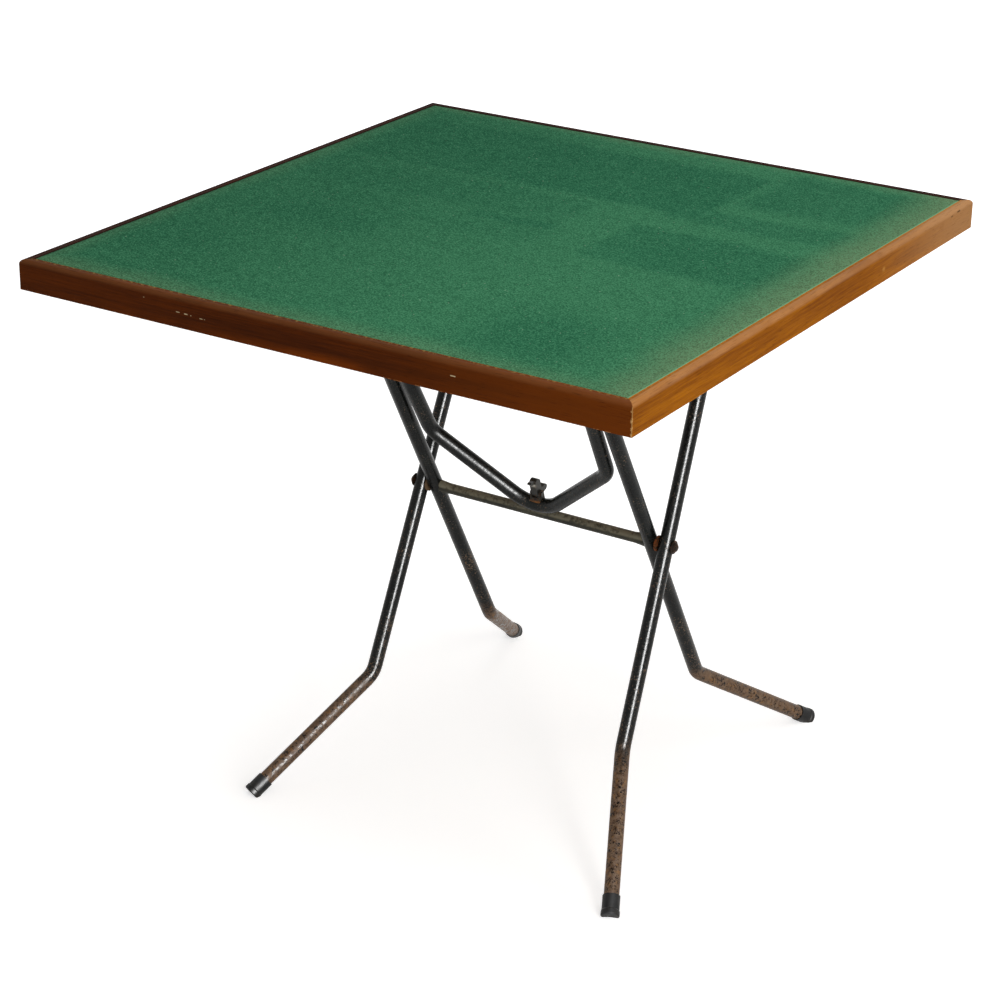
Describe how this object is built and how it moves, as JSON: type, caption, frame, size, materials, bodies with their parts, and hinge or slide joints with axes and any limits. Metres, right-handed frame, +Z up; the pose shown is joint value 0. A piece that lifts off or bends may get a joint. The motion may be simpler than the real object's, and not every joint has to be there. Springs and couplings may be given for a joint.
{
  "type": "folding card table",
  "caption": "Square folding card table: a green cloth top in a wooden edge frame, on two crossed frames of bent black steel tube with rubber-tipped feet.",
  "frame": {"origin": "on the floor, midway between the edges of the top", "axes": "+X to the table's right as seen from the front, +Y to the back, +Z up"},
  "size_m": [0.76, 0.8, 0.72],
  "materials": {
    "rail_wood": "worn dark red-brown varnish",
    "bearer_wood": "plain sawn softwood",
    "plywood": "plain plywood",
    "baize": "worn green wool cloth",
    "ferrule_rubber": "matt black rubber, worn flat under the feet",
    "black_enamel": "gloss black enamel, worn and rusted at the feet",
    "dull_steel": "dull grey-brown, tarnished",
    "rusty_steel": "rusted",
    "bolt_steel": "black paint, worn",
    "catch_steel": "dull tarnished steel",
    "bracket_steel": "dull black"
  },
  "bodies": {
    "inner_frame": {"inner_frame_tube": "black_enamel", "crossbar": "dull_steel", "brace_tube": "black_enamel", "pivot_bolt_left": "bolt_steel", "pivot_bolt_right": "bolt_steel", "pivot_washer_left": "rusty_steel", "pivot_washer_right": "rusty_steel", "inner_ferrule_left": "ferrule_rubber", "inner_ferrule_right": "ferrule_rubber", "catch_bracket": "catch_steel", "catch_pin": "catch_steel"},
    "tabletop": {"rail_front": "rail_wood", "rail_back": "rail_wood", "rail_left": "rail_wood", "rail_right": "rail_wood", "top_panel": "plywood", "baize": "baize", "bearer_front": "bearer_wood", "bearer_back": "bearer_wood", "hinge_hanger_left": "bracket_steel", "hinge_hanger_right": "bracket_steel", "hinge_strap_left": "bracket_steel", "hinge_strap_right": "bracket_steel", "rest_bracket_left": "bracket_steel", "rest_bracket_right": "bracket_steel", "bracket_screws": "bracket_steel", "strap_screws": "bracket_steel"},
    "outer_frame": {"outer_frame_tube": "black_enamel", "outer_ferrule_left": "ferrule_rubber", "outer_ferrule_right": "ferrule_rubber"},
    "catch": {"catch_lever": "catch_steel"}
  },
  "joints": [
    {"name": "top_tilt", "type": "hinge", "parent": "inner_frame", "child": "tabletop", "pos_m": [0, -0.09921, 0.641], "axis": [1, 0, 0], "range_deg": [0, 126]},
    {"name": "frame_pivot", "type": "hinge", "parent": "inner_frame", "child": "outer_frame", "pos_m": [0, 0.0686, 0.3474], "axis": [1, 0, 0], "range_deg": [0, 49.14]},
    {"name": "catch_turn", "type": "hinge", "parent": "inner_frame", "child": "catch", "pos_m": [0, 0.05751, 0.37691], "axis": [1, 0, 0], "range_deg": [0, 42]}
  ],
  "couplings": [
    {"joint": "frame_pivot", "follows": "top_tilt", "ratio": 0.39}
  ]
}
